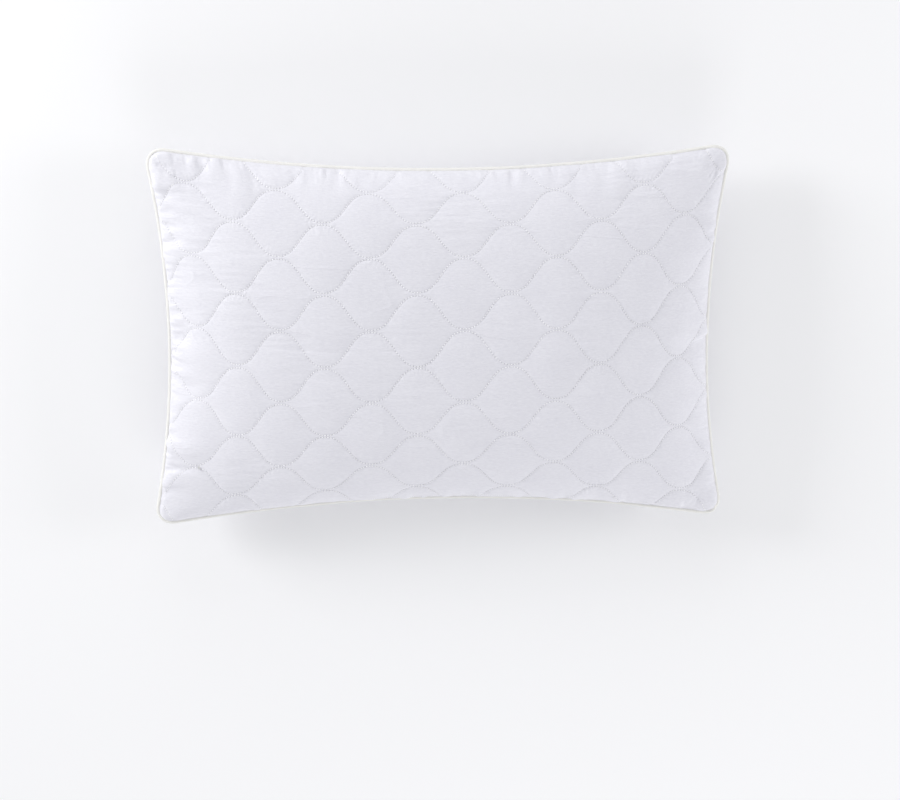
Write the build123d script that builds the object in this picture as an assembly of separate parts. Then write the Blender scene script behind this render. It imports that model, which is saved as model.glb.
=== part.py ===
from build123d import *

import math
import os

# Quilted bed pillow with a corded edge, lying on its underside. Millimetres, +Z up.
#
# Two quilted panels, each of cover cloth, wadding and lining, are sewn together round a piping and stuffed.
# The origin is under the middle of the pillow, on the plane that it rests on. X runs along the long side.
# The pieces nest like bowls: every layer of a panel turns in at the seam and ends in a flat seam allowance.

# Driving dimensions
LENGTH = 746.0  # over the piping, corner to corner along X
WIDTH = 492.0  # over the piping, corner to corner along Y
LONG_SIDE_PULL = 31.0  # how far the middle of a long side draws in from its corners
SHORT_SIDE_PULL = 26.0
SEAM_CORNER_R = 17.0
SEAM_HEIGHT = 60.0  # seam plane above the floor
UPPER_CROWN = 90.0  # top of the upper cover above the seam plane
LOWER_CROWN = 63.0  # depth of the lower cover below the seam plane before the floor flattens it
RIM = 5.5  # height of the cover above the seam plane where it turns in at the seam

# How the stuffed section rounds off: share of a half ellipse in it, and its fullness along X and along Y
ELLIPSE_SHARE = 0.45
UPPER_FULLNESS = (1.5, 1.15)
LOWER_FULLNESS = (2.4, 1.9)

# Thicknesses
CORD_R = 2.0
TAPE_THICK = 0.5
COVER_THICK = 0.6
WADDING_THICK = 5.0
SEWN_WADDING_THICK = 1.0  # wadding pressed flat at the rim and in the seam allowance
LINING_THICK = 0.4
THREAD = 0.4
LAYER_GAP = 0.1  # clear space between neighbouring layers
FIBRE_GAP = 0.6  # clear space round the loose filling
THREAD_GAP = 0.15  # clear space under a thread on a cover
CORD_GAP = 0.02  # clear space between the cord and its tape
PIPING_GAP = 0.2  # clear space between the piping and the seam line

# Seam
SEAM_ALLOWANCE = 11.0  # how far the turned-in edges reach inside the seam
STITCH_INSET = 5.0  # the row of stitches that closes the seam, inside the seam line
OVERLOCK_REACH = 3.5  # how far the edging covers the seam allowance

# Quilting: rows of waves along X, each row half a wave out of step with its neighbours
WAVE_LENGTH = 116.0
WAVE_HEIGHT = 43.5  # crest to trough
ROW_PITCH = 45.7
ROWS_EACH_WAY = 5  # on each side of the row through the middle
CREST_AT = 24.0  # first crest of the middle row, from the middle of the pillow
THREAD_END = 0.96  # where the rows run out, as a share of the half panel
THREAD_STEPS = 128

# Closing stitch beside the piping, over the opening that the pillow was filled through
CLOSING_LENGTH = 190.0
CLOSING_AT = 0.96  # place across the panel, as a share of the half width
CLOSING_STEPS = 24

TAPE_R = CORD_R + TAPE_THICK
PIPING_OFFSET = TAPE_R + PIPING_GAP  # piping centreline outside the seam line
SEAM_HALF_X = LENGTH / 2 - PIPING_OFFSET - TAPE_R
SEAM_HALF_Y = WIDTH / 2 - PIPING_OFFSET - TAPE_R
SKIN_STEPS_X = 22
SKIN_STEPS_Y = 18
SKIN_TOLERANCE = 0.005  # how closely a skin follows its points
DIRECTION_STEP = 0.002  # step in panel coordinates for finding which way a skin faces
TRIM = 0.05  # a skin is made this much too wide, then trimmed to its outline
EXTRA = 1.0  # overshoot of a cutting body


def arc_drop(at, half, pull):
    """How far a circular side, pulled in by `pull` at its middle, lies in at distance `at` from there."""
    radius = (half**2 + pull**2) / (2 * pull)
    return math.sqrt(radius**2 - at**2) - (radius - pull)


def plan_point(u, v, inset):
    """Plan position of panel coordinates u, v, each from -1 to 1, on a panel `inset` inside the seam line."""
    half_x, half_y = SEAM_HALF_X - inset, SEAM_HALF_Y - inset
    pull_x = arc_drop(v * half_y, half_y, SHORT_SIDE_PULL)
    pull_y = arc_drop(u * half_x, half_x, LONG_SIDE_PULL)
    return half_x * u - pull_x * u**3, half_y * v - pull_y * v**3


def roundness(at, fullness):
    """Height of the stuffed section at -1 to 1 across it, from 0 at the seam to 1 at the middle."""
    rest = max(0.0, 1 - abs(at) ** (2 * fullness))
    return ELLIPSE_SHARE * math.sqrt(rest) + (1 - ELLIPSE_SHARE) * rest


def skin_point(u, v, side, inset=0.0, rim=RIM, depth=0.0):
    """Point of a skin at panel coordinates u, v, `depth` inside the cover at its crown. `side` is 1 or -1."""
    fullness_x, fullness_y = UPPER_FULLNESS if side > 0 else LOWER_FULLNESS
    crown = (UPPER_CROWN if side > 0 else LOWER_CROWN) - depth
    x, y = plan_point(u, v, inset)
    swell = roundness(u, fullness_x) * roundness(v, fullness_y)
    return Vector(x, y, SEAM_HEIGHT + side * (rim + (crown - rim) * swell))


def seam_face(inset):
    """The area inside the seam line, moved in by `inset`, with rounded corners."""
    half_x, half_y = SEAM_HALF_X - inset, SEAM_HALF_Y - inset
    corners = [(-half_x, -half_y), (half_x, -half_y), (half_x, half_y), (-half_x, half_y)]
    middles = [
        (0, LONG_SIDE_PULL - half_y),
        (half_x - SHORT_SIDE_PULL, 0),
        (0, half_y - LONG_SIDE_PULL),
        (SHORT_SIDE_PULL - half_x, 0),
    ]
    sides = [ThreePointArc(corners[i], middles[i], corners[(i + 1) % 4]) for i in range(4)]
    area = make_face(sides)
    return fillet(area.vertices(), SEAM_CORNER_R - inset)


def seam_plate(inset, start, end):
    """A flat plate inside the seam line between two heights, each measured from the seam plane."""
    low, high = sorted((start, end))
    return Pos(0, 0, SEAM_HEIGHT + low) * extrude(seam_face(inset), high - low)


def bowl(side, inset, lift, rim, depth):
    """The space between a skin and the level `lift` away from the seam plane, flattened by the floor."""
    shares_u = [math.sin(math.pi / 2 * (2 * i / SKIN_STEPS_X - 1)) for i in range(SKIN_STEPS_X + 1)]
    shares_v = [math.sin(math.pi / 2 * (2 * j / SKIN_STEPS_Y - 1)) for j in range(SKIN_STEPS_Y + 1)]
    grid = [[skin_point(u, v, side, inset - TRIM, rim, depth) for u in shares_u] for v in shares_v]
    skin = Face.make_surface_from_array_of_points(grid, tol=SKIN_TOLERANCE)
    edge = Wire(skin.edges())
    sink = Vector(0, 0, -side * (rim - lift + EXTRA))
    walls = Shell.extrude(edge, sink).faces()
    lid = Face(edge.moved(Location(sink)))
    body = Solid(Shell([skin, *walls, lid]))
    reach = UPPER_CROWN + EXTRA if side > 0 else SEAM_HEIGHT - depth
    return body & seam_plate(inset, side * lift, side * reach)


def panel_layers():
    """Each layer of a panel, outermost first: name, thickness, pressed thickness, inset, lift, rim, depth."""
    inset, lift, rim, depth = 0.0, TAPE_THICK / 2 + LAYER_GAP, RIM, 0.0
    for name, thick, pressed in (
        ("cover_panel", COVER_THICK, COVER_THICK),
        ("wadding", WADDING_THICK, SEWN_WADDING_THICK),
        ("lining", LINING_THICK, LINING_THICK),
    ):
        yield name, thick, pressed, inset, lift, rim, depth
        inset += pressed + LAYER_GAP
        lift += pressed + LAYER_GAP
        rim -= pressed + LAYER_GAP
        depth += thick + LAYER_GAP


def panel_layer(side, thick, pressed, inset, lift, rim, depth):
    """One layer of a panel: its crowned skin, and its seam allowance turned in along the seam plane."""
    outer = bowl(side, inset, lift, rim, depth)
    hollow = bowl(side, inset + pressed, lift + pressed, rim - pressed, depth + thick)
    opening = seam_plate(SEAM_ALLOWANCE, side * (lift - EXTRA), side * (lift + pressed + EXTRA))
    return outer - hollow - opening


def filling(inset, lift, rim, depth):
    """The loose fibre: it fills both panels and joins through the opening inside the seam allowance."""
    upper = bowl(1, inset, lift, rim, depth)
    lower = bowl(-1, inset, lift, rim, depth)
    return upper + lower + seam_plate(SEAM_ALLOWANCE + FIBRE_GAP, -lift - EXTRA, lift + EXTRA)


def piping():
    """The cord, and the tape that wraps it and runs into the seam between the panels."""
    path = offset(seam_face(0), PIPING_OFFSET, kind=Kind.ARC).face().outer_wire()
    path = Pos(0, 0, SEAM_HEIGHT) * path
    start = Plane(origin=path @ 0, z_dir=path % 0)
    cord = sweep(start * Circle(CORD_R), path=path)
    wrap = sweep(start * (Circle(TAPE_R) - Circle(CORD_R + CORD_GAP)), path=path)
    reach = offset(seam_face(0), PIPING_OFFSET - CORD_R - TAPE_THICK / 2, kind=Kind.ARC).face()
    flange = extrude(reach - seam_face(SEAM_ALLOWANCE), TAPE_THICK)
    return cord, wrap + Pos(0, 0, SEAM_HEIGHT - TAPE_THICK / 2) * flange


def seam_ring(inner, outer, low, high):
    """A flat band along the inside of the seam, between two insets."""
    return seam_plate(outer, low, high) - seam_plate(inner, low, high)


def seam_thread(stack):
    """The row of stitches that closes the seam: one thread above the seam allowance and one below."""
    inner = STITCH_INSET + THREAD
    above = seam_ring(inner, STITCH_INSET, stack, stack + THREAD)
    below = seam_ring(inner, STITCH_INSET, -stack - THREAD, -stack)
    return Compound([above, below])


def overlock(stack):
    """The overlocked thread edging, folded round the raw edge of the seam allowance."""
    edge = SEAM_ALLOWANCE + LAYER_GAP / 2
    around = seam_ring(edge + THREAD, SEAM_ALLOWANCE - OVERLOCK_REACH, -stack - THREAD, stack + THREAD)
    return around - seam_ring(edge, 0, -stack, stack)


def cover_frame(u, v, side):
    """Point on the outside of a cover at panel coordinates u, v, and the direction straight out from it."""
    along = skin_point(u + DIRECTION_STEP, v, side) - skin_point(u - DIRECTION_STEP, v, side)
    across = skin_point(u, v + DIRECTION_STEP, side) - skin_point(u, v - DIRECTION_STEP, side)
    return skin_point(u, v, side), along.cross(across).normalized() * side


def thread_strip(points, side):
    """A narrow ridge of thread on a cover, along points (u, v) of the panel."""
    frames = [cover_frame(u, v, side) for u, v in points]
    rails = [[] for corner in range(4)]
    for i, (centre, out) in enumerate(frames):
        ahead = frames[min(i + 1, len(frames) - 1)][0] - frames[max(i - 1, 0)][0]
        aside = ahead.cross(out).normalized() * (THREAD / 2)
        foot = centre + out * THREAD_GAP
        top = foot + out * THREAD
        for rail, point in zip(rails, (foot - aside, foot + aside, top + aside, top - aside)):
            rail.append(point)
    edges = [Edge.make_spline(rail) for rail in rails]
    walls = [Face.make_surface_from_curves(edges[i], edges[(i + 1) % 4]) for i in range(4)]
    ends = []
    for end in (0, -1):
        loop = [rail[end] for rail in rails]
        ends.append(Face(Wire([Edge.make_line(loop[i], loop[(i + 1) % 4]) for i in range(4)])))
    return Solid(Shell(walls + ends))


def wave_runs(row, side):
    """The stretches (u, v) of one row of quilting that lie on the panel, clear of the seam and of the floor.

    Where the pillow rests, the thread sinks into the wadding between the puffs, so it has no ridge there.
    """
    runs = [[]]
    for i in range(THREAD_STEPS + 1):
        u = (2 * i / THREAD_STEPS - 1) * THREAD_END
        turns = (u * SEAM_HALF_X - CREST_AT) / WAVE_LENGTH + row / 2
        v = (row * ROW_PITCH + WAVE_HEIGHT / 2 * math.cos(2 * math.pi * turns)) / SEAM_HALF_Y
        if abs(v) < THREAD_END and skin_point(u, v, side).Z > THREAD_GAP + THREAD:
            runs[-1].append((u, v))
        elif runs[-1]:
            runs.append([])
    return [run for run in runs if len(run) > 2]


def quilting(side):
    """The quilting threads of one panel."""
    rows = range(-ROWS_EACH_WAY, ROWS_EACH_WAY + 1)
    return Compound([thread_strip(run, side) for row in rows for run in wave_runs(row, side)])


def closing_stitch():
    """The topstitch that shuts the filling opening, on the upper cover beside the piping."""
    half = CLOSING_LENGTH / 2 / SEAM_HALF_X
    points = [((2 * i / CLOSING_STEPS - 1) * half, -CLOSING_AT) for i in range(CLOSING_STEPS + 1)]
    return thread_strip(points, 1)


def build():
    """Every node of the pillow by name."""
    nodes = {}
    for place, side in (("top", 1), ("bottom", -1)):
        for name, thick, pressed, inset, lift, rim, depth in panel_layers():
            nodes[f"{place}_{name}"] = panel_layer(side, thick, pressed, inset, lift, rim, depth)
        nodes[f"{place}_quilting_thread"] = quilting(side)
    stack = lift + pressed + LAYER_GAP
    inside = pressed + FIBRE_GAP
    nodes["fibre_filling"] = filling(inset + inside, stack + THREAD + FIBRE_GAP, rim - inside, depth + inside)
    nodes["piping_cord"], nodes["piping_tape"] = piping()
    nodes["seam_thread"] = seam_thread(stack)
    nodes["overlock_edging"] = overlock(stack)
    nodes["closing_stitch"] = closing_stitch()
    return nodes


os.makedirs("parts", exist_ok=True)
for node_name, shape in build().items():
    export_step(shape, f"parts/{node_name}.step")
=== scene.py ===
# Looks of the quilted bed pillow, built round its CAD frame. Metres, +Z up; it lies on its underside.
#
# Each cover panel is cloth simulated over a crowned base: it is held down along its rows of quilting and
# swells between them. The swollen cloth is then refined, and gets needle holes, puckers, seam gathers and
# crinkles. Over a panel, p and q run from -1 to 1 along X and Y; s and t are cloth coordinates in metres.

import math

import bpy
import numpy as np
from mathutils import Matrix, Vector


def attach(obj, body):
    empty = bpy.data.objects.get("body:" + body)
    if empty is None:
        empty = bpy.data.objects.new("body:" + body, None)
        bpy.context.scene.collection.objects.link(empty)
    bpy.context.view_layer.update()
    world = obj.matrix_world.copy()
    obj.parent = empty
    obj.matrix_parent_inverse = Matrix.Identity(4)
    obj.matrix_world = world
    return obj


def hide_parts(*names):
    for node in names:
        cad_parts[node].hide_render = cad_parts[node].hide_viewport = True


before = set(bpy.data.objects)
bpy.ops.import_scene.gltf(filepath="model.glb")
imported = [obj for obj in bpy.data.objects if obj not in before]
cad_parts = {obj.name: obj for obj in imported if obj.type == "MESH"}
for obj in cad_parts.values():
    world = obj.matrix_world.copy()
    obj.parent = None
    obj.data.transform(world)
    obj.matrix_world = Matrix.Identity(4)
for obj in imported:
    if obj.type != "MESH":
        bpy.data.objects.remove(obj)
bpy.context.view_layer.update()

# ---------------------------------------------------------------- outline and section
HALF_X = 0.3678  # half the seam outline, corner to corner
HALF_Y = 0.2408
PULL_X = 0.026  # how far the middle of a short side draws in
PULL_Y = 0.031  # how far the middle of a long side draws in
CORNER_R = 0.027
SEAM_Z = 0.060
SEAM_WANDER = {"height": 0.0020, "size": 0.13, "seed": 61}  # the seam goes up and down a little
SEAM_RIPPLE = {"height": 0.0007, "size": 0.045, "seed": 62}
TUCK_OUT = 0.0019  # the cover ends this far outside the seam line, against the piping
TUCK_UP = 0.0011  # and this far above the seam plane
RIM = 0.0055  # the turned-in seam allowance props the cover up by this much
RIM_REACH = 0.0030
ELLIPSE_SHARE = 0.45  # share of an ellipse in the section; the rest comes to the seam at a shallower angle
FLOOR_CLEAR = 0.0006

# A panel's crown is its height over the seam, and its fullness how flat its top is along X and along Y.
UPPER = {"name": "top", "side": 1, "crown": 0.0845, "fullness": (1.5, 1.15), "seed": 11}
LOWER = {"name": "bottom", "side": -1, "crown": 0.0585, "fullness": (2.4, 1.9), "seed": 23}
LUMPS = ((0.0022, 0.11), (0.0012, 0.06))  # unevenness of the stuffing: height and size, broad and fine

# ---------------------------------------------------------------- quilting and other stitches
WAVE_LENGTH = 0.116
WAVE_AMPLITUDE = 0.0226
WAVE_SQUARENESS = 0.06  # share of a third harmonic, which rounds the crests out
ROW_PITCH = 0.0457
ROWS = range(-5, 6)
CREST_AT = 0.024
ROW_WANDER = {"height": 0.0007, "size": 0.05, "seed": 5}  # rows of quilting aren't sewn quite true
ROW_NOISE_STEP = 0.37  # rows read the noise this far apart, so that they differ
STITCH = {"length": 0.0033, "width": 0.00085, "height": 0.0007}
STITCH_PITCH = 0.0037
STITCH_UNEVEN = 0.0002
STITCH_MARGIN = 0.0025  # rows stop this far inside the seam
STITCH_LIFT = 0.00012
STITCH_RINGS = 5
STITCH_CORNERS = 6
STITCH_END = 0.12  # square of the girth left at a stitch's ends
STITCH_DIVE = 0.4  # share of its height that its ends dive by
STITCH_SEED = 50
CLOSING_LENGTH = 0.190
CLOSING_PITCH = 0.0028
CLOSING_INSET = 0.0085
CLOSING_STITCH = {"length": 0.0022, "width": 0.0006, "height": 0.0005}
CLOSING_WANDER = {"height": 0.0004, "size": 0.02, "seed": 31}
LOOK_AHEAD = 0.0006  # a stitch's direction is taken over this length
PATH_STEPS = 8001  # points that the length of a row is measured with
ROW_STEPS = 6001  # points along a row that stitches are placed between

# ---------------------------------------------------------------- piping
PIPING_R = 0.0025
PIPING_RIPPLE = 0.00016
PIPING_OUT = 0.0027  # piping centreline outside the seam line
PIPING_STEP = 0.0012
PIPING_LAP = 0.007  # how far its ends run past where they meet
PIPING_SINK = 0.0065  # how deep the ends dive into the seam
PIPING_SINK_FROM = 0.004  # they start to dive this far before they meet
PIPING_CROSS = {"height": 0.0019, "at": 0.002, "reach": 0.006}  # one end rides over the other
PIPING_WOBBLE = {"height": 0.0003, "size": 0.012, "seed": 92}
CORD_R = 0.0019
CORD_RIPPLE = 0.0001
TUBE_CORNERS = 18
TAPE_SLANT = 0.0016  # the tape's ripples run round the cord on the bias
TAPE_TWIST = 0.0042
TAPE_ROUND = 0.004  # metres of noise for each radian round the tape
TAPE_FINE = {"height": 1, "size": 0.0028, "seed": 95}
TAPE_COARSE = {"height": 0.6, "size": 0.008, "seed": 96}
OUTLINE_POINTS = 400  # for each side

# ---------------------------------------------------------------- cloth
CELLS_X = 236  # cells of a simulated panel
CELLS_Y = 156
FRAMES = 16
REFINEMENTS = 2  # times the simulated grid is doubled
HELD_WITHIN = 0.0016  # the quilting holds the cloth this far to each side
HELD_DOWN = 0.0006  # how deep the quilting holds the cover into the wadding
HELD_SLOPE = 0.0025  # and how wide the dip is
EDGE_CELLS = 2  # points this many cells from a panel's edge aren't moved onto the rows of quilting,
ROWS_END = 0.985  # and neither are points past this share of its half width
CORNER_REACH = 0.045  # how far from a corner its relief fades
CORNER_HELD = 0.007  # how far from a corner the cloth is held still

# Each size of puff at the seams: how wide it is, how far in it fades, and how high it is.
GATHERS = ((0.0050, 0.009, 0.0011), (0.0105, 0.017, 0.0026), (0.024, 0.030, 0.0040))
GATHER_WEIGHTS = (1.1, 1.4, 2.2, 2.3)  # at the back, front, right and left seams
GATHER_LIMIT = 0.0045  # no puff at the seams rises or sinks more than this
GATHER_LEAN = 0.25  # how far puffs lean to one side on their way in
GATHER_LEAN_SIZE = 0.04
GATHER_STRETCH = 3.2  # how much longer than wide puffs are
GATHER_RISE = 0.2  # share of a puff's reach in which it rises
GATHER_PATCHES = {"size": 0.06, "mean": 0.6, "swing": 1.1, "low": 0.05, "high": 1.4}
GATHERS_BEFORE = 0.75  # strength of the gathers that the simulation starts from
GATHERS_AFTER = 0.8  # and of those added to its result
FADE_BEFORE = 0.003  # reliefs fade this close to the seam
FADE_AFTER = 0.002

# Folds at the corners; `turn` is metres of noise for each radian round the corner.
FOLD = {"height": 0.0065, "reach": 0.050, "start": 0.014, "size": 0.008, "turn": 0.03, "stretch": 4}

# Crinkles along the pillow: `stretch` times longer than wide.
FINE_CRINKLE = {"height": 0.00040, "size": 0.0040, "stretch": 7, "lean": 0}
BROAD_CRINKLE = {"height": 0.0007, "size": 0.011, "stretch": 5, "lean": 0.1}
CREASE = {"height": 0.0007, "size": 0.02, "stretch": 4, "lean": 0.12}
CREASE_WIDTH = 0.07
CRINKLE_PATCHES = {"size": 0.07, "mean": 0.45, "swing": 1.1, "low": 0, "high": 1}
CREASE_PATCHES = {"size": 0.04, "mean": 0, "swing": 1, "low": 0, "high": 1}

TIGHTNESS = {"size": 0.075, "mean": 1, "swing": 1.1, "low": 0.15, "high": 1.9}
TIGHTNESS_SEED = 79
GROOVE = {"depth": 0.00022, "width": 0.0014}
HOLE = {"depth": 0.0003, "width": 0.0009}
PUCKER = {"height": 0.00024, "length": 0.0074, "reach": 0.0055, "clear": 0.0015}
PUCKER_SHIFT = {"height": 4, "size": 0.012, "seed": 77}
PUCKER_STRENGTH = {"height": 0.6, "size": 0.03, "seed": 78}

# Added to a panel's seed for each of its reliefs
FOLD_SEED = 60
SECOND_GATHER_SEED = 200
CRINKLE_SEED = 40

# ---------------------------------------------------------------- inner pieces
WADDING_DEPTHS = (0.0028, 0.0058)
LINING_DEPTHS = (0.0062, 0.0066)
FILLING_DEPTH = 0.008
INNER_SHARE = (1 - 0.006, 1 - 0.009, 1.0)  # size of the inner pieces, to stay clear of the seam
INNER_CLEAR = 0.0005  # how far they stay from the seam's plane
INNER_STEP = 4  # they use every fourth point of the cover

# ---------------------------------------------------------------- noise and textures
NOISE_CELLS = 256
NOISE_SHIFT = 1000.5  # keeps the noise's cell borders off the pillow's middle
WAVE_TEXTURE_UNIT = 0.31416  # scale at which Blender's wave texture has bands 1 m apart

# ---------------------------------------------------------------- light and camera
FLOOR_SIZE = 14
WORLD_STRENGTH = 0.60
LIGHTS_AIM = (0, 0, 0.1)
LIGHTS = {  # place, side of the square and watts
    "key": ((-2.5, 1.1, 1.05), 1.0, 43),
    "right": ((2.4, 0.3, 0.9), 1.0, 18),
    "front": ((0.3, -2.4, 1.0), 1.4, 19),
    "back": ((-0.3, 2.4, 0.9), 1.4, 9),
}
CAMERA_AT = (-0.17, 0.46, 2.61)
CAMERA_AIM = (0.012, -0.084, 0.06)
CAMERA_TOP = (0, 1, 0)
CAMERA_LENS = 81


# ---------------------------------------------------------------- shape helpers
def eased(a):
    """From 0 to 1 as a goes from 0 to 1, level at both ends."""
    return a * a * a * (a * (6 * a - 15) + 10)


def bell(x):
    """1 at 0, falling smoothly to both sides; about a third at 1."""
    return np.exp(-(x**2))


def smooth_noise(x, y, size, seed):
    """Smooth noise of about -1 to 1 over the plane, with features about `size` across."""
    table = np.random.default_rng(seed).uniform(-1, 1, (NOISE_CELLS, NOISE_CELLS))
    across, up = np.asarray(x) / size + NOISE_SHIFT, np.asarray(y) / size + NOISE_SHIFT
    i, j = np.floor(across).astype(int), np.floor(up).astype(int)
    a, b = eased(across - i), eased(up - j)

    def corner(di, dj):
        return table[(i + di) % NOISE_CELLS, (j + dj) % NOISE_CELLS]

    low = corner(0, 0) * (1 - a) + corner(1, 0) * a
    high = corner(0, 1) * (1 - a) + corner(1, 1) * a
    return low * (1 - b) + high * b


def unevenness(x, y, kind):
    """Noise of one kind: a table of its height, its size and its seed."""
    return kind["height"] * smooth_noise(x, y, kind["size"], kind["seed"])


def patchy(x, y, seed, kind):
    """A strength that varies from place to place, kept between two limits."""
    strength = kind["mean"] + kind["swing"] * smooth_noise(x, y, kind["size"], seed)
    return np.clip(strength, kind["low"], kind["high"])


def arc_drop(at, half, pull):
    """How far a circular side, pulled in by `pull` at its middle, lies in at distance `at` from there."""
    radius = (half**2 + pull**2) / (2 * pull)
    return np.sqrt(radius**2 - at**2) - (radius - pull)


def plan(u, v, inset=0.0):
    """Plan position of panel coordinates u, v, from -1 to 1, on an outline `inset` inside the seam line."""
    half_x, half_y = HALF_X - inset, HALF_Y - inset
    pull_x = arc_drop(v * half_y, half_y, PULL_X)
    pull_y = arc_drop(u * half_x, half_x, PULL_Y)
    return half_x * u - pull_x * u**3, half_y * v - pull_y * v**3


def rounded(p, q):
    """Square coordinates p, q turned into u, v whose outline has round corners."""
    s, t = p * HALF_X, q * HALF_Y
    a = np.maximum(0, (np.abs(s) - (HALF_X - CORNER_R)) / CORNER_R)
    b = np.maximum(0, (np.abs(t) - (HALF_Y - CORNER_R)) / CORNER_R)
    corner = (a > 0) & (b > 0)
    round_s = np.sign(s) * (HALF_X - CORNER_R + CORNER_R * a * np.sqrt(1 - b * b / 2))
    round_t = np.sign(t) * (HALF_Y - CORNER_R + CORNER_R * b * np.sqrt(1 - a * a / 2))
    return np.where(corner, round_s, s) / HALF_X, np.where(corner, round_t, t) / HALF_Y


def roundness(at, fullness):
    """Height of the stuffed section across a panel, from 0 at the seam to 1 at the middle."""
    rest = np.maximum(0, 1 - np.abs(at) ** (2 * fullness))
    return ELLIPSE_SHARE * np.sqrt(rest) + (1 - ELLIPSE_SHARE) * rest


def unit(vectors):
    """Vectors made 1 long."""
    return vectors / np.maximum(np.linalg.norm(vectors, axis=-1, keepdims=True), 1e-12)


def normals(grid, side):
    """Unit normals of a grid of points, out of the pillow."""
    return unit(np.cross(np.gradient(grid, axis=0), np.gradient(grid, axis=1)) * side)


def doubled(grid, axis):
    """A grid with a point added between every two along one axis, on a smooth curve."""
    g = np.moveaxis(grid, axis, 0)
    padded = np.concatenate([2 * g[:1] - g[1:2], g, 2 * g[-1:] - g[-2:-1]])
    middle = (9 * (padded[1:-2] + padded[2:-1]) - padded[:-3] - padded[3:]) / 16
    out = np.empty((2 * len(g) - 1,) + g.shape[1:])
    out[0::2] = g
    out[1::2] = middle
    return np.moveaxis(out, 0, axis)


def refined(grid):
    """A grid of twice the cells each way."""
    return doubled(doubled(grid, 0), 1)


def inside_by(p, q):
    """How far inside a panel's edges along X and along Y its points p, q are, in metres."""
    return (1 - np.abs(p)) * HALF_X, (1 - np.abs(q)) * HALF_Y


def seam_height(x, y):
    """Height of the seam, which wanders a little up and down round the pillow."""
    return SEAM_Z + unevenness(x, y, SEAM_WANDER) + unevenness(x, y, SEAM_RIPPLE)


def base_surface(p, q, u, v, panel):
    """The stuffed panel without its quilting."""
    x, y = plan(u, v, -TUCK_OUT)
    swell = roundness(p, panel["fullness"][0]) * roundness(q, panel["fullness"][1])
    in_x, in_y = inside_by(p, q)
    rim = RIM * (1 - np.exp(-in_x / RIM_REACH)) * (1 - np.exp(-in_y / RIM_REACH))
    lumps = 0
    for number, (height, size) in enumerate(LUMPS):
        lumps = lumps + height * smooth_noise(x, y, size, panel["seed"] + number)
    height = TUCK_UP + rim + (panel["crown"] + lumps) * swell
    z = seam_height(x, y) * (1 - swell) + SEAM_Z * swell + panel["side"] * height
    return np.stack([x, y, np.maximum(z, FLOOR_CLEAR)], -1)


# ---------------------------------------------------------------- quilting pattern
def wave(s, row):
    """How far across the panel a row of quilting is at distance s along it."""
    phase = 2 * math.pi * ((s - CREST_AT) / WAVE_LENGTH + row / 2)
    wander = unevenness(s, row * ROW_NOISE_STEP + 0 * s, ROW_WANDER)
    return row * ROW_PITCH + WAVE_AMPLITUDE * (np.cos(phase) - WAVE_SQUARENESS * np.cos(3 * phase)) + wander


def wave_slope(s, row):
    """The slope of a row of quilting at distance s along it."""
    turn = 2 * math.pi / WAVE_LENGTH
    phase = turn * (s - CREST_AT) + math.pi * row
    return -WAVE_AMPLITUDE * turn * (np.sin(phase) - 3 * WAVE_SQUARENESS * np.sin(3 * phase))


def path_length(s):
    """Length of quilting from the middle of a row to distance s along it; it grows alike in every row."""
    fine = np.linspace(-HALF_X, HALF_X, PATH_STEPS)
    length = np.concatenate([[0], np.cumsum(np.hypot(1, wave_slope(fine[:-1], 0)) * np.diff(fine))])
    return np.interp(s, fine, length)


def nearest_row(s, t):
    """Distance to the nearest row of quilting, and the length along that row where it is nearest."""
    distance = np.full(s.shape, 1.0)
    nearest = np.array(s)
    for row in ROWS:
        slope = wave_slope(s, row)
        off = t - wave(s, row)
        here = np.abs(off) / np.hypot(1, slope)
        nearest = np.where(here < distance, s + off * slope / (1 + slope**2), nearest)
        distance = np.minimum(distance, here)
    return distance, path_length(nearest)


# ---------------------------------------------------------------- cloth
def snap_to_rows(u, v):
    """Moves the nearest points of the grid onto the rows of quilting. Returns the new v and those points."""
    held = np.zeros(u.shape, bool)
    v = v.copy()
    nx, ny = u.shape
    for row in ROWS:
        for i in range(EDGE_CELLS, nx - EDGE_CELLS):
            at = wave(u[i, ny // 2] * HALF_X, row) / HALF_Y
            j = int(np.argmin(np.abs(v[i] - at)))
            if abs(at) < ROWS_END and EDGE_CELLS <= j < ny - EDGE_CELLS:
                held[i, j] = True
                v[i, j] = at
    return v, held


def grid_faces(nx, ny, side):
    """Quads over a grid of (nx, ny) points, facing out of the pillow."""
    at = np.arange(nx * ny).reshape(nx, ny)
    quads = np.stack([at[:-1, :-1], at[1:, :-1], at[1:, 1:], at[:-1, 1:]], -1).reshape(-1, 4)
    return quads if side > 0 else quads[:, ::-1]


def make_mesh(name, points, faces):
    """A mesh object from arrays of points and of faces that all have as many corners."""
    mesh = bpy.data.meshes.new(name)
    mesh.vertices.add(len(points))
    mesh.vertices.foreach_set("co", np.asarray(points, np.float32).ravel())
    mesh.loops.add(faces.size)
    mesh.loops.foreach_set("vertex_index", faces.astype(np.int32).ravel())
    mesh.polygons.add(len(faces))
    mesh.polygons.foreach_set("loop_start", np.arange(0, faces.size, faces.shape[1], dtype=np.int32))
    mesh.update(calc_edges=True)
    mesh.validate()
    mesh.shade_smooth()
    thing = bpy.data.objects.new(name, mesh)
    bpy.context.scene.collection.objects.link(thing)
    return thing


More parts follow.
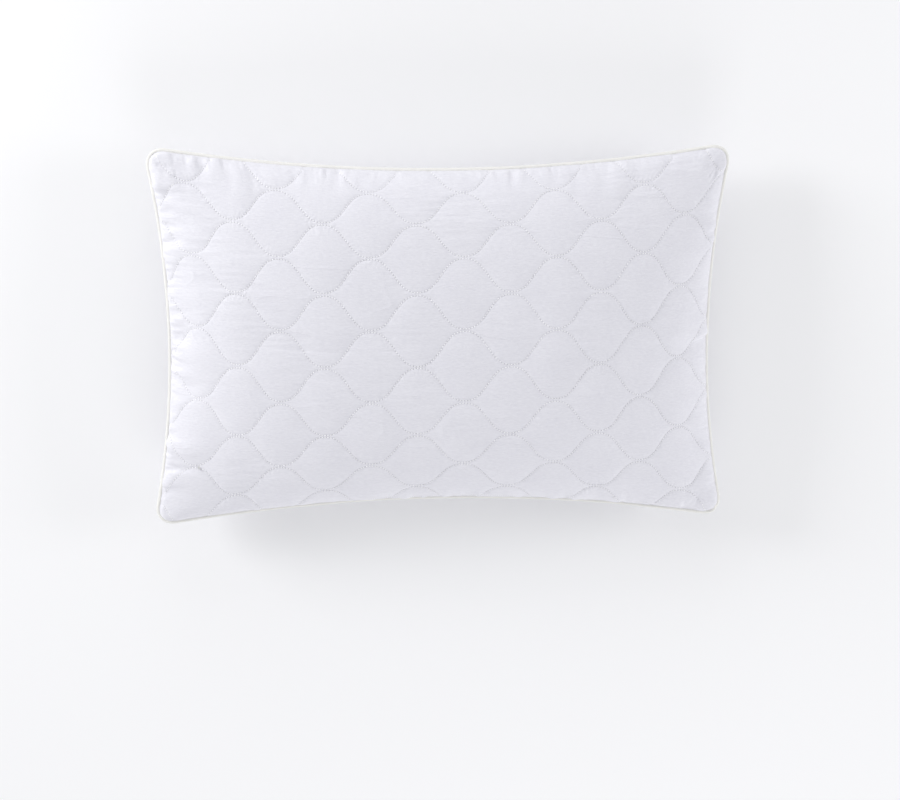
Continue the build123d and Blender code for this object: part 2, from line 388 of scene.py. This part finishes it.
def cloth_modifier(thing, held_group):
    """Light, supple cloth under air pressure, held by a group of its points."""
    cloth = thing.modifiers.new("cloth", "CLOTH")
    s = cloth.settings
    s.quality = 5
    s.mass = 0.012
    s.tension_stiffness = s.compression_stiffness = 8
    s.shear_stiffness = 1.6
    s.bending_stiffness = 0.02
    s.air_damping = 2
    s.use_pressure = True
    s.uniform_pressure_force = 160
    s.effector_weights.gravity = 0
    s.vertex_group_mass = held_group
    cloth.collision_settings.use_collision = False
    cloth.point_cache.frame_start = 1
    cloth.point_cache.frame_end = FRAMES


def swell_cloth(start, held, side):
    """The cloth blown up against its held points. It has no strain in the shape it starts with."""
    nx, ny = held.shape
    thing = make_mesh("cloth", start.reshape(-1, 3), grid_faces(nx, ny, side))
    group = thing.vertex_groups.new(name="held")
    group.add(np.flatnonzero(held).tolist(), 1.0, "REPLACE")
    cloth_modifier(thing, group.name)
    scene = bpy.context.scene
    scene.frame_start = 1
    scene.frame_end = FRAMES
    for step in range(1, FRAMES + 1):
        scene.frame_set(step)
    done = thing.evaluated_get(bpy.context.evaluated_depsgraph_get())
    points = np.empty(nx * ny * 3, np.float32)
    done.data.vertices.foreach_get("co", points)
    mesh = thing.data
    bpy.data.objects.remove(thing)
    bpy.data.meshes.remove(mesh)
    scene.frame_set(1)
    return points.reshape(nx, ny, 3).astype(float)


def gathers(p, q, s, t, seed):
    """Height of the puffs that run in from the seams, in metres, over a panel."""
    total = np.zeros(p.shape)
    seams = ((q, s, HALF_Y), (-q, s, HALF_Y), (p, t, HALF_X), (-p, t, HALF_X))
    for number, (across, along, half) in enumerate(seams):
        inward = (1 - across) * half
        mark = seed + 10 * number
        drift = along + GATHER_LEAN * inward * smooth_noise(along, inward, GATHER_LEAN_SIZE, mark)
        strength = GATHER_WEIGHTS[number] * patchy(drift, 0 * drift, mark + 1, GATHER_PATCHES)
        for size, reach, height in GATHERS:
            puff = smooth_noise(drift, inward / GATHER_STRETCH, size, mark + 2)
            rise = 1 - np.exp(-inward / (GATHER_RISE * reach))
            total += strength * height * rise * np.exp(-inward / reach) * puff
    return GATHER_LIMIT * np.tanh(total / GATHER_LIMIT)


def corner_folds(x, y, seed):
    """Folds that run in from the corners, in metres."""
    total = np.zeros(x.shape)
    for number, (across, up) in enumerate(((1, 1), (1, -1), (-1, 1), (-1, -1))):
        dx, dy = HALF_X - x * across, HALF_Y - y * up
        far = np.hypot(dx, dy)
        turn = np.arctan2(dy, dx)
        fold = smooth_noise(turn * FOLD["turn"], far / FOLD["stretch"], FOLD["size"], seed + number)
        total += FOLD["height"] * fold * np.exp(-far / FOLD["reach"]) * (1 - bell(far / FOLD["start"]))
    return total


def slanted_noise(s, t, kind, seed):
    """Noise drawn out along the pillow, and leaning a little across it."""
    return smooth_noise(s / kind["stretch"], t + kind["lean"] * s, kind["size"], seed)


def crinkles(s, t, seed):
    """Fine creases along the pillow, where the cloth is slack, in metres."""
    fine = FINE_CRINKLE["height"] * slanted_noise(s, t, FINE_CRINKLE, seed + 1)
    broad = BROAD_CRINKLE["height"] * slanted_noise(s, t, BROAD_CRINKLE, seed + 2)
    crease = CREASE["height"] * bell(slanted_noise(s, t, CREASE, seed + 3) / CREASE_WIDTH)
    crinkled = patchy(s, t, seed, CRINKLE_PATCHES)
    creased = patchy(s, t, seed + 4, CREASE_PATCHES)
    return crinkled * (fine + broad) + creased * crease


def edge_fade(p, q, reach):
    """From 0 at the panel's edge to 1 at `reach` inside it, and slower at its corners."""
    in_x, in_y = inside_by(p, q)
    near = np.clip(np.hypot(in_x, in_y) / CORNER_REACH, 0, 1)
    return np.clip(np.minimum(in_x, in_y) / reach, 0, 1) * near * near * (3 - 2 * near)


def stitched_in(s, t):
    """How the quilting stitches draw the cloth in and pucker it around them, in metres."""
    distance, length = nearest_row(s, t)
    tightness = patchy(s, t, TIGHTNESS_SEED, TIGHTNESS)
    groove = GROOVE["depth"] * tightness * bell(distance / GROOVE["width"])
    hole = HOLE["depth"] * bell(distance / HOLE["width"]) * np.cos(2 * math.pi * length / STITCH_PITCH)
    phase = 2 * math.pi * length / PUCKER["length"] + unevenness(s, t, PUCKER_SHIFT)
    strength = PUCKER["height"] * tightness * (PUCKER_STRENGTH["height"] + unevenness(s, t, PUCKER_STRENGTH))
    pucker = strength * np.exp(-distance / PUCKER["reach"]) * np.cos(phase)
    return -groove - hole + pucker * (1 - bell(distance / PUCKER["clear"]))


def panel_surface(panel):
    """The finished skin of one cover panel: its points, their normals and its cloth coordinates s, t."""
    side, seed = panel["side"], panel["seed"]
    p, q = np.meshgrid(np.linspace(-1, 1, CELLS_X + 1), np.linspace(-1, 1, CELLS_Y + 1), indexing="ij")
    u, v = rounded(p, q)
    snapped, held = snap_to_rows(u, v)
    q = np.where(held, snapped, q)
    s, t = u * HALF_X, snapped * HALF_Y
    distance, _ = nearest_row(s, t)
    base = base_surface(p, q, u, snapped, panel)
    bumps = GATHERS_BEFORE * gathers(p, q, s, t, seed) + corner_folds(s, t, seed + FOLD_SEED)
    bumps = bumps * edge_fade(p, q, FADE_BEFORE)
    pressed = HELD_DOWN * bell(distance / HELD_SLOPE)
    skin = base + normals(base, side) * (bumps - pressed)[..., None]
    held |= (distance < HELD_WITHIN) | (np.abs(p) == 1) | (np.abs(q) == 1)
    held |= np.hypot(*inside_by(p, q)) < CORNER_HELD
    skin = swell_cloth(skin, held, side)
    cloth = np.stack([s, t, p, q], -1)
    for _ in range(REFINEMENTS):
        skin = refined(skin)
        cloth = refined(cloth)
    s, t, p, q = np.moveaxis(cloth, -1, 0)
    relief = GATHERS_AFTER * gathers(p, q, s, t, seed + SECOND_GATHER_SEED)
    relief += crinkles(s, t, seed + CRINKLE_SEED) + stitched_in(s, t)
    skin = skin + normals(skin, side) * (relief * edge_fade(p, q, FADE_AFTER))[..., None]
    skin[..., 2] = np.maximum(skin[..., 2], FLOOR_CLEAR)
    return {"points": skin, "normals": normals(skin, side), "s": s, "t": t}


def set_uv(thing, u, v):
    """Gives a mesh a UV map of one u, v in metres for each point."""
    layer = thing.data.uv_layers.new(name="cloth")
    corners = np.empty(len(thing.data.loops), np.int32)
    thing.data.loops.foreach_get("vertex_index", corners)
    places = np.stack([u.ravel()[corners], v.ravel()[corners]], -1)
    layer.data.foreach_set("uv", places.astype(np.float32).ravel())


def cover(panel, surface):
    """The visible cover cloth of one side."""
    points = surface["points"]
    faces = grid_faces(*points.shape[:2], panel["side"])
    thing = make_mesh(f"{panel['name']}_cover", points.reshape(-1, 3), faces)
    set_uv(thing, surface["s"], surface["t"])
    return thing


# ---------------------------------------------------------------- stitches
def stitch_faces():
    """Quads over a stitch's rings of six points, with both ends closed."""
    quads = []
    for ring in range(STITCH_RINGS - 1):
        first = ring * STITCH_CORNERS
        for k in range(STITCH_CORNERS):
            a, b = first + k, first + (k + 1) % STITCH_CORNERS
            quads.append((a, b, b + STITCH_CORNERS, a + STITCH_CORNERS))
    last = (STITCH_RINGS - 1) * STITCH_CORNERS
    for order in ((3, 2, 1, 0), (5, 4, 3, 0)):
        quads.append(order)
    for order in ((0, 1, 2, 3), (0, 3, 4, 5)):
        quads.append(tuple(last + k for k in order))
    return np.array(quads)


def capsules(name, centres, along, out, size):
    """Short threads that dive in at their ends: `along` is each one's direction, `out` its way up."""
    at = np.linspace(-1, 1, STITCH_RINGS)
    girth = np.sqrt(np.maximum(STITCH_END, 1 - np.abs(at) ** 3))
    dive = STITCH_DIVE * size["height"] * at**4
    angle = 2 * math.pi * np.arange(STITCH_CORNERS) / STITCH_CORNERS
    x = np.repeat(at, STITCH_CORNERS) * size["length"] / 2
    y = np.outer(girth, np.cos(angle)).ravel() * size["width"] / 2
    z = np.outer(girth, np.sin(angle)).ravel() * size["height"] / 2 - np.repeat(dive, STITCH_CORNERS)
    axes = (along, np.cross(out, along), out)
    points = centres[:, None]
    for axis, shape in zip(axes, (x, y, z)):
        points = points + axis[:, None] * shape[None, :, None]
    firsts = np.arange(len(centres)) * STITCH_RINGS * STITCH_CORNERS
    faces = (stitch_faces()[None] + firsts[:, None, None]).reshape(-1, 4)
    thing = make_mesh(name, points.reshape(-1, 3), faces)
    share = np.repeat((at + 1) / 2, STITCH_CORNERS)
    set_uv(thing, np.tile(share, len(centres)), np.tile(angle, STITCH_RINGS * len(centres)))
    return thing


def between(field, i, j):
    """A grid's values at fractional indices i, j."""
    i0, j0 = i.astype(int), j.astype(int)
    a, b = i - i0, j - j0
    if field.ndim == 3:
        a, b = a[:, None], b[:, None]
    low = field[i0, j0] * (1 - a) + field[i0 + 1, j0] * a
    high = field[i0, j0 + 1] * (1 - a) + field[i0 + 1, j0 + 1] * a
    return low * (1 - b) + high * b


def on_surface(surface, s, t):
    """Points and normals of a panel surface at cloth coordinates s, t. The grid's t is only nearly even."""
    nx, ny = surface["s"].shape
    last_i, last_j = nx - 1.001, ny - 1.001  # just inside the last cell
    i = np.clip((s / HALF_X + 1) / 2 * (nx - 1), 0, last_i)
    j = np.clip((t / HALF_Y + 1) / 2 * (ny - 1), 0, last_j)
    for _ in range(3):
        missed = t - between(surface["t"], i, j)
        j = np.clip(j + missed / (2 * HALF_Y / (ny - 1)), 0, last_j)
    return between(surface["points"], i, j), unit(between(surface["normals"], i, j))


def stitch_places(surface, s, t, t_ahead):
    """Where stitches go on a panel: their centres, directions and ways up, for cloth coordinates s, t."""
    middle, out = on_surface(surface, s, t)
    ahead, _ = on_surface(surface, s + LOOK_AHEAD, t_ahead)
    along = ahead - middle
    along -= out * (along * out).sum(-1, keepdims=True)
    return middle + out * STITCH_LIFT, unit(along), out


def quilting_stitches(panel, surface):
    """Every quilting stitch of one side."""
    s_fine = np.linspace(-HALF_X + STITCH_MARGIN, HALF_X - STITCH_MARGIN, ROW_STEPS)
    length = path_length(s_fine)
    first, last = math.ceil(length[0] / STITCH_PITCH), math.floor(length[-1] / STITCH_PITCH)
    marks = (np.arange(first, last) + 0.5) * STITCH_PITCH
    places = []
    for row in ROWS:
        uneven = STITCH_UNEVEN * np.random.default_rng(row + STITCH_SEED).normal(size=len(marks))
        s = np.interp(marks + uneven, length, s_fine)
        s = s[np.abs(wave(s, row)) < HALF_Y - STITCH_MARGIN]
        places.append(stitch_places(surface, s, wave(s, row), wave(s + LOOK_AHEAD, row)))
    centres, directions, ups = (np.concatenate(part) for part in zip(*places))
    return capsules(f"{panel['name']}_quilting_stitches", centres, directions, ups, STITCH)


def closing_stitches(surface):
    """The topstitch that closes the opening the pillow was filled through, beside the piping."""
    s = np.arange(-CLOSING_LENGTH / 2, CLOSING_LENGTH / 2, CLOSING_PITCH)
    t = CLOSING_INSET - HALF_Y + unevenness(s, 0 * s, CLOSING_WANDER)
    return capsules("closing_stitches", *stitch_places(surface, s, t, t), CLOSING_STITCH)


# ---------------------------------------------------------------- piping
def piping_ring():
    """The closed line the piping follows, from the corner at +X, -Y, and the length to each of its points."""
    edge = np.linspace(-1, 1, OUTLINE_POINTS, endpoint=False)
    ones = np.ones(OUTLINE_POINTS)
    p = np.concatenate([ones, -edge, -ones, edge])
    q = np.concatenate([edge, ones, -edge, -ones])
    x, y = plan(*rounded(p, q), -PIPING_OUT)
    x, y = np.append(x, x[0]), np.append(y, y[0])
    length = np.concatenate([[0], np.cumsum(np.hypot(np.diff(x), np.diff(y)))])
    return x, y, length


def piping_path():
    """The piping's centreline, once round the seam; at one corner its ends cross and dive into the seam."""
    ring_x, ring_y, length = piping_ring()
    total = length[-1]
    along = np.arange(-PIPING_LAP, total + PIPING_LAP, PIPING_STEP)
    x = np.interp(along % total, length, ring_x)
    y = np.interp(along % total, length, ring_y)
    past = np.maximum(0, np.maximum(PIPING_SINK_FROM - along, along - (total - PIPING_SINK_FROM)))
    sink = PIPING_SINK * (past / (PIPING_LAP + PIPING_SINK_FROM)) ** 2
    far = np.hypot(x, y)
    x, y = x - x / far * sink, y - y / far * sink
    over = bell((along - total + PIPING_CROSS["at"]) / PIPING_CROSS["reach"])
    under = bell((along + PIPING_CROSS["at"]) / PIPING_CROSS["reach"])
    wobble = unevenness(along, 0 * along, PIPING_WOBBLE)
    z = seam_height(x, y) + wobble + PIPING_CROSS["height"] * (over - under)
    return np.stack([x, y, z], -1), along


def tape_relief(far, turn):
    """Unevenness of a tape drawn round a cord, about -1 to 1, at lengths `far` and angles `turn`."""
    slant, aside = far + TAPE_SLANT * np.sin(turn), TAPE_ROUND * turn
    rough = unevenness(slant, aside, TAPE_FINE) + unevenness(slant, aside, TAPE_COARSE)
    twist = np.cos(2 * math.pi * far / TAPE_TWIST + turn)
    return 0.7 * rough + 0.35 * twist


def tube(name, path, along, radius, ripple):
    """A tube along a path of points, rippled, and drawn to a point at both ends."""
    ahead = unit(np.gradient(path, axis=0))
    aside = unit(np.cross(ahead, [0, 0, 1.0]))
    up = np.cross(aside, ahead)
    angle = 2 * math.pi * np.arange(TUBE_CORNERS) / TUBE_CORNERS
    turn = angle[None, :] + 0 * along[:, None]
    far = along[:, None] + 0 * turn
    to_end = np.minimum(far - along[0], along[-1] - far)
    closing = np.sqrt(np.clip(to_end / radius, 0, 1))
    grown = (radius + ripple * tape_relief(far, turn)) * closing
    out = aside[:, None] * np.cos(turn)[..., None] + up[:, None] * np.sin(turn)[..., None]
    points = path[:, None] + out * grown[..., None]
    at = np.arange(turn.size).reshape(turn.shape)
    beside = np.roll(at, -1, axis=1)
    faces = np.stack([at[:-1], beside[:-1], beside[1:], at[1:]], -1).reshape(-1, 4)
    thing = make_mesh(name, points.reshape(-1, 3), faces)
    set_uv(thing, far, turn * radius)
    return thing


# ---------------------------------------------------------------- materials
def new_material(name, colour, roughness, sheen):
    """A Principled material."""
    material = bpy.data.materials.new(name)
    material.use_nodes = True
    shader = material.node_tree.nodes["Principled BSDF"]
    shader.inputs["Base Color"].default_value = (*colour, 1)
    shader.inputs["Roughness"].default_value = roughness
    shader.inputs["Sheen Weight"].default_value = sheen
    shader.inputs["Sheen Roughness"].default_value = 0.45
    shader.inputs["Specular IOR Level"].default_value = 0.25
    return material


def add_node(material, kind, **values):
    """A node of a material, with inputs set by name."""
    node = material.node_tree.nodes.new(kind)
    for key, value in values.items():
        node.inputs[key.replace("_", " ")].default_value = value
    return node


def cloth_uv(material):
    """The output of a material's UV map in metres."""
    uv = material.node_tree.nodes.new("ShaderNodeUVMap")
    uv.uv_map = "cloth"
    return uv.outputs["UV"]


def combined(material, operation, first, second):
    """Two outputs put together by a maths node."""
    node = material.node_tree.nodes.new("ShaderNodeMath")
    node.operation = operation
    material.node_tree.links.new(first, node.inputs[0])
    material.node_tree.links.new(second, node.inputs[1])
    return node.outputs[0]


def weave_bands(material, uv, thread):
    """Height of warp and weft threads that cross."""
    heights = []
    for direction in ("X", "Y"):
        scale = WAVE_TEXTURE_UNIT / thread
        bands = add_node(material, "ShaderNodeTexWave", Scale=scale, Distortion=0.6, Detail=1.0)
        bands.bands_direction = direction
        material.node_tree.links.new(uv, bands.inputs["Vector"])
        heights.append(bands.outputs["Fac"])
    return combined(material, "MAXIMUM", *heights)


def weave(material, thread, depth, tint, tint_amount, patch):
    """Weave bump, slubs and a faint unevenness of colour, for cloth with a UV map in metres."""
    tree = material.node_tree
    link = tree.links.new
    shader = tree.nodes["Principled BSDF"]
    uv = cloth_uv(material)
    bands = weave_bands(material, uv, thread)
    fuzz = add_node(material, "ShaderNodeTexNoise", Scale=1 / (thread * 3), Detail=4.0)
    stretched = add_node(material, "ShaderNodeMapping", Scale=(0.3, 1.0, 1.0))
    slubs = add_node(material, "ShaderNodeTexNoise", Scale=1 / (thread * 4), Detail=2.0)
    cloud = add_node(material, "ShaderNodeTexNoise", Scale=1 / patch, Detail=5.0, Roughness=0.6)
    for node in (fuzz, stretched, cloud):
        link(uv, node.inputs["Vector"])
    link(stretched.outputs["Vector"], slubs.inputs["Vector"])
    slub_bump = add_node(material, "ShaderNodeBump", Strength=1.0, Distance=depth * 4)
    link(slubs.outputs["Fac"], slub_bump.inputs["Height"])
    bump = add_node(material, "ShaderNodeBump", Strength=0.35, Distance=depth)
    link(combined(material, "ADD", bands, fuzz.outputs["Fac"]), bump.inputs["Height"])
    link(slub_bump.outputs["Normal"], bump.inputs["Normal"])
    link(bump.outputs["Normal"], shader.inputs["Normal"])
    both = add_node(material, "ShaderNodeMix", Factor=0.6)
    link(cloud.outputs["Fac"], both.inputs["A"])
    link(slubs.outputs["Fac"], both.inputs["B"])
    amount = add_node(material, "ShaderNodeMapRange", From_Min=0.3, From_Max=0.7, To_Max=tint_amount)
    link(both.outputs["Result"], amount.inputs["Value"])
    blend = tree.nodes.new("ShaderNodeMix")
    blend.data_type = "RGBA"
    blend.inputs["A"].default_value = shader.inputs["Base Color"].default_value
    blend.inputs["B"].default_value = (*tint, 1)
    link(amount.outputs["Result"], blend.inputs["Factor"])
    link(blend.outputs["Result"], shader.inputs["Base Color"])
    rough = add_node(material, "ShaderNodeMapRange", To_Min=0.78, To_Max=0.92)
    link(fuzz.outputs["Fac"], rough.inputs["Value"])
    link(rough.outputs["Result"], shader.inputs["Roughness"])
    return material


def cover_cloth():
    """Fine white cotton with a blue tinge."""
    cloth = new_material("cover_cloth", (0.82, 0.815, 0.86), 0.85, 0.12)
    return weave(cloth, 0.00045, 0.00012, (0.72, 0.715, 0.77), 0.75, 0.05)


def piping_cloth():
    """Cream cotton, a little coarser."""
    tape = new_material("piping_cloth", (0.86, 0.855, 0.82), 0.85, 0.12)
    return weave(tape, 0.0005, 0.00016, (0.82, 0.81, 0.77), 0.6, 0.01)


def thread_material(name, colour):
    """Polyester thread: smoother than the cloth, with a fine twist."""
    material = new_material(name, colour, 0.35, 0.1)
    tree = material.node_tree
    shader = tree.nodes["Principled BSDF"]
    shader.inputs["Specular IOR Level"].default_value = 0.5
    place = tree.nodes.new("ShaderNodeTexCoord")
    ply = add_node(material, "ShaderNodeTexNoise", Scale=2600.0, Detail=2.0)
    tree.links.new(place.outputs["Object"], ply.inputs["Vector"])
    bump = add_node(material, "ShaderNodeBump", Strength=0.4, Distance=0.0001)
    tree.links.new(ply.outputs["Fac"], bump.inputs["Height"])
    tree.links.new(bump.outputs["Normal"], shader.inputs["Normal"])
    return material


def stitch_material(name, light, painted_shade):
    """Thread in stitches: light along the top, with painted shade at its ends for the shadow where it dives
    into the cloth.
    """
    material = thread_material(name, light)
    tree = material.node_tree
    split = tree.nodes.new("ShaderNodeSeparateXYZ")
    ramp = tree.nodes.new("ShaderNodeValToRGB")
    stops = ramp.color_ramp.elements
    stops[0].position = 0.10
    stops[1].position = 0.90
    # Both end stops carry painted shade, for the shadow where the thread dives into the cloth.
    for stop in stops:
        stop.color = (*painted_shade, 1)
    for place in (0.22, 0.78):
        stops.new(place).color = (*light, 1)
    tree.links.new(cloth_uv(material), split.inputs["Vector"])
    tree.links.new(split.outputs["X"], ramp.inputs["Fac"])
    tree.links.new(ramp.outputs["Color"], tree.nodes["Principled BSDF"].inputs["Base Color"])
    return material


def fibre_material(name, colour, clump):
    """Matted fibre: soft, with fine hairs and clumps."""
    material = new_material(name, colour, 0.95, 0.35)
    tree = material.node_tree
    place = tree.nodes.new("ShaderNodeTexCoord")
    hairs = add_node(material, "ShaderNodeTexNoise", Scale=900.0, Detail=6.0, Distortion=1.5)
    clumps = add_node(material, "ShaderNodeTexNoise", Scale=1 / clump, Detail=3.0)
    for node in (hairs, clumps):
        tree.links.new(place.outputs["Object"], node.inputs["Vector"])
    coarse = add_node(material, "ShaderNodeBump", Strength=0.7, Distance=clump / 4)
    fine = add_node(material, "ShaderNodeBump", Strength=0.5, Distance=0.0004)
    tree.links.new(clumps.outputs["Fac"], coarse.inputs["Height"])
    tree.links.new(hairs.outputs["Fac"], fine.inputs["Height"])
    tree.links.new(coarse.outputs["Normal"], fine.inputs["Normal"])
    tree.links.new(fine.outputs["Normal"], tree.nodes["Principled BSDF"].inputs["Normal"])
    return material


# ---------------------------------------------------------------- inner pieces
def shifted_in(surface, side, depth):
    """A coarser grid of a panel's skin, moved in by depth, a little clear of the seam and its plane."""
    points = surface["points"][::INNER_STEP, ::INNER_STEP]
    out = surface["normals"][::INNER_STEP, ::INNER_STEP]
    centre = np.array([0, 0, SEAM_Z])
    points = centre + (points - centre) * np.array(INNER_SHARE) - out * depth
    seam = seam_height(points[..., 0], points[..., 1])
    height = side * (points[..., 2] - seam)
    points[..., 2] = seam + side * np.maximum(height, INNER_CLEAR)
    return points


def closed_between(name, outer, inner, side):
    """A closed solid between two grids of points of the same size; `outer` faces to the given side."""
    nx, ny = outer.shape[:2]
    both = np.concatenate([outer.reshape(-1, 3), inner.reshape(-1, 3)])
    faces = grid_faces(nx, ny, side)
    rim = np.arange(nx * ny).reshape(nx, ny)
    loop = np.concatenate([rim[:-1, 0], rim[-1, :-1], rim[:0:-1, -1], rim[0, :0:-1]])
    ahead = np.roll(loop, -1)
    wall = np.stack([loop, ahead, ahead + nx * ny, loop + nx * ny], -1)
    if side > 0:
        wall = wall[:, ::-1]
    return make_mesh(name, both, np.concatenate([faces, faces[:, ::-1] + nx * ny, wall]))


def inner_layer(name, surface, side, depths):
    """A closed layer inside a cover, between two depths below it."""
    outer, inner = (shifted_in(surface, side, depth) for depth in depths)
    return closed_between(name, outer, inner, side)


# ---------------------------------------------------------------- the pillow
def place_piece(thing, material, node):
    """Puts a piece on the pillow with its material, in place of a CAD node."""
    thing.data.materials.clear()
    thing.data.materials.append(material)
    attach(thing, "root")
    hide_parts(node)


def build_panel(panel, cloth, stitches, batting, backing):
    """One side's cover, quilting, wadding and lining. Returns its surface."""
    name, side = panel["name"], panel["side"]
    surface = panel_surface(panel)
    skin = cover(panel, surface)
    place_piece(skin, cloth, f"{name}_cover_panel")
    place_piece(quilting_stitches(panel, surface), stitches, f"{name}_quilting_thread")
    wadding = inner_layer(f"{name}_wadding_layer", surface, side, WADDING_DEPTHS)
    place_piece(wadding, batting, f"{name}_wadding")
    lining = inner_layer(f"{name}_lining_layer", surface, side, LINING_DEPTHS)
    place_piece(lining, backing, f"{name}_lining")
    return surface


def build_filling(top, bottom):
    """The loose fibre between the two panels."""
    upper, lower = shifted_in(top, 1, FILLING_DEPTH), shifted_in(bottom, -1, FILLING_DEPTH)
    filling = closed_between("filling", upper, lower, 1)
    loose = fibre_material("loose_fibre", (0.90, 0.90, 0.90), 0.012)
    place_piece(filling, loose, "fibre_filling")


def build_piping():
    """The tape and the cord inside it."""
    path, along = piping_path()
    cotton = fibre_material("cotton_cord", (0.86, 0.84, 0.78), 0.0012)
    tape = tube("piping", path, along, PIPING_R, PIPING_RIPPLE)
    place_piece(tape, piping_cloth(), "piping_tape")
    core = tube("piping_core", path, along, CORD_R, CORD_RIPPLE)
    place_piece(core, cotton, "piping_cord")


def build_pillow():
    """Every piece. The seam thread and the overlock edging keep their CAD shape."""
    cloth = cover_cloth()
    # The second colour is painted shade for the ends of each stitch.
    stitches = stitch_material("quilting_thread", (0.99, 0.99, 0.99), (0.50, 0.50, 0.55))
    batting = fibre_material("wadding_fibre", (0.88, 0.88, 0.87), 0.004)
    backing = fibre_material("lining_fleece", (0.84, 0.84, 0.85), 0.0015)
    top, bottom = (build_panel(panel, cloth, stitches, batting, backing) for panel in (UPPER, LOWER))
    build_filling(top, bottom)
    place_piece(closing_stitches(top), stitches, "closing_stitch")
    build_piping()
    kept = {
        "seam_thread": thread_material("sewing_thread", (0.83, 0.84, 0.88)),
        "overlock_edging": thread_material("overlock_thread", (0.80, 0.80, 0.79)),
    }
    for node, material in kept.items():
        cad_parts[node].data.materials.clear()
        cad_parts[node].data.materials.append(material)


# ---------------------------------------------------------------- the studio
def area_light(name, place, size, power):
    """A soft square light, turned to the pillow."""
    data = bpy.data.lights.new(name, "AREA")
    data.shape = "SQUARE"
    data.size = size
    data.energy = power
    light = bpy.data.objects.new(name, data)
    light.location = place
    light.rotation_euler = (Vector(LIGHTS_AIM) - Vector(place)).to_track_quat("-Z", "Y").to_euler()
    bpy.context.scene.collection.objects.link(light)


def main_camera():
    """The main camera, which looks down on the quilted face as the photo looks at it."""
    data = bpy.data.cameras.new("camera")
    data.lens = CAMERA_LENS
    back = (Vector(CAMERA_AT) - Vector(CAMERA_AIM)).normalized()
    right = Vector(CAMERA_TOP).cross(back).normalized()
    up = back.cross(right)
    camera = bpy.data.objects.new("camera", data)
    camera.matrix_world = Matrix.Translation(CAMERA_AT) @ Matrix((right, up, back)).transposed().to_4x4()
    bpy.context.scene.collection.objects.link(camera)
    bpy.context.scene.camera = camera


def pale_floor():
    """A plain pale floor."""
    bpy.ops.mesh.primitive_plane_add(size=FLOOR_SIZE)
    floor = bpy.context.object
    floor.name = "floor"
    floor.data.materials.append(new_material("floor_paint", (0.93, 0.93, 0.935), 0.7, 0.0))


def soft_sky():
    """Even light from all round."""
    world = bpy.data.worlds.new("studio")
    world.use_nodes = True
    background = world.node_tree.nodes["Background"]
    background.inputs["Color"].default_value = (0.97, 0.975, 1.0, 1)
    background.inputs["Strength"].default_value = WORLD_STRENGTH
    bpy.context.scene.world = world
    bpy.context.scene.view_settings.view_transform = "Standard"


build_pillow()
pale_floor()
soft_sky()
for light_name, settings in LIGHTS.items():
    area_light(light_name, *settings)
main_camera()
